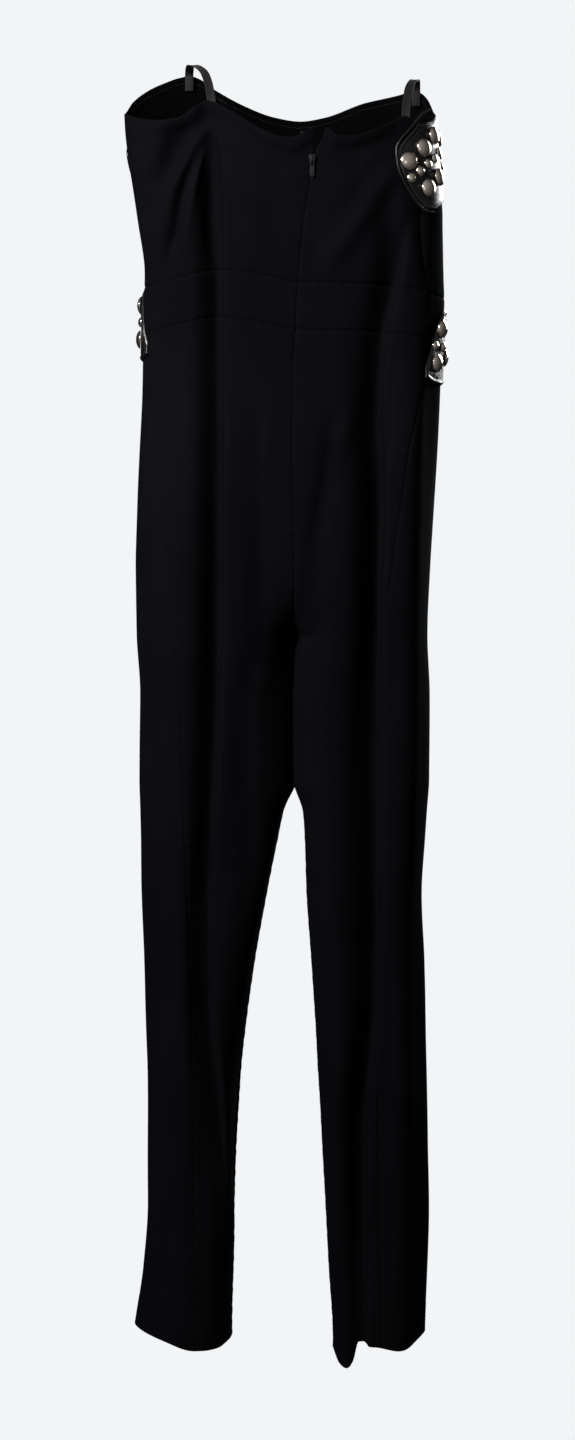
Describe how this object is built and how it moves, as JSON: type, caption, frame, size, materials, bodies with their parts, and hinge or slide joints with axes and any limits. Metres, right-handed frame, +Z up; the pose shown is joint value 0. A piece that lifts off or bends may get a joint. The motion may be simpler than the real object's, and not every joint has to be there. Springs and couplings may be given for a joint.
{
  "type": "strapless jumpsuit with studded leather side panels and hanger loops",
  "caption": "Strapless full-length jumpsuit in black crepe with a waistband, centre-back zip and studded leather side panels, hung hollow by two ribbon loops.",
  "frame": {"origin": "the point where the garment is held, midway between the crests of its two hanger loops", "axes": "+Z up, -Y towards the wearer's back, which the picture shows, -X towards the wearer's left"},
  "size_m": [0.3441, 0.1294, 1.4063],
  "materials": {
    "crepe": "matte black stretch crepe with a fine pebbled grain and a faint blue-grey sheen on raised folds",
    "leather": "glossy black smooth-grained leather",
    "piping": "glossy black leather piping over a cord",
    "studs": "polished domed studs, pale champagne silver",
    "zip_tape": "black woven polyester zip tape",
    "zip_metal": "black lacquered zip slider and tab, slightly worn",
    "ribbon": "dark taupe satin ribbon"
  },
  "bodies": {
    "garment": {"bodice_back_left": "crepe", "bodice_back_right": "crepe", "bodice_front": "crepe", "waistband_back_left": "crepe", "waistband_back_right": "crepe", "waistband_front": "crepe", "leg_back_left": "crepe", "leg_front_left": "crepe", "leg_back_right": "crepe", "leg_front_right": "crepe", "bust_leather_left": "leather", "bust_piping_left": "piping", "hip_leather_left": "leather", "bust_leather_right": "leather", "bust_piping_right": "piping", "hip_leather_right": "leather", "bust_stud_left_large_1": "studs", "bust_stud_left_large_2": "studs", "bust_stud_left_large_3": "studs", "bust_stud_left_large_4": "studs", "bust_stud_left_large_5": "studs", "bust_stud_left_large_6": "studs", "bust_stud_left_large_7": "studs", "bust_stud_left_small_1": "studs", "bust_stud_left_small_2": "studs", "bust_stud_left_small_3": "studs", "bust_stud_left_small_4": "studs", "bust_stud_left_small_5": "studs", "bust_stud_left_small_6": "studs", "hip_stud_left_large_1": "studs", "hip_stud_left_large_2": "studs", "hip_stud_left_large_3": "studs", "hip_stud_left_small_1": "studs", "hip_stud_left_small_2": "studs", "bust_stud_right_large_1": "studs", "bust_stud_right_large_2": "studs", "bust_stud_right_large_3": "studs", "bust_stud_right_large_4": "studs", "bust_stud_right_large_5": "studs", "bust_stud_right_large_6": "studs", "bust_stud_right_large_7": "studs", "bust_stud_right_small_1": "studs", "bust_stud_right_small_2": "studs", "bust_stud_right_small_3": "studs", "bust_stud_right_small_4": "studs", "bust_stud_right_small_5": "studs", "bust_stud_right_small_6": "studs", "hip_stud_right_large_1": "studs", "hip_stud_right_large_2": "studs", "hip_stud_right_large_3": "studs", "hip_stud_right_small_1": "studs", "hip_stud_right_small_2": "studs", "zip_tape_left": "zip_tape", "zip_tape_right": "zip_tape", "zip_slider": "zip_metal", "hanger_loop_left": "ribbon", "hanger_loop_right": "ribbon"},
    "zip_tab": {"zip_pull_tab": "zip_metal"}
  },
  "joints": [
    {"name": "zip_tab_swing", "type": "hinge", "parent": "garment", "child": "zip_tab", "pos_m": [0.0067, -0.0593, -0.0977], "axis": [-1, 0, 0], "range_deg": [0, 165]}
  ]
}
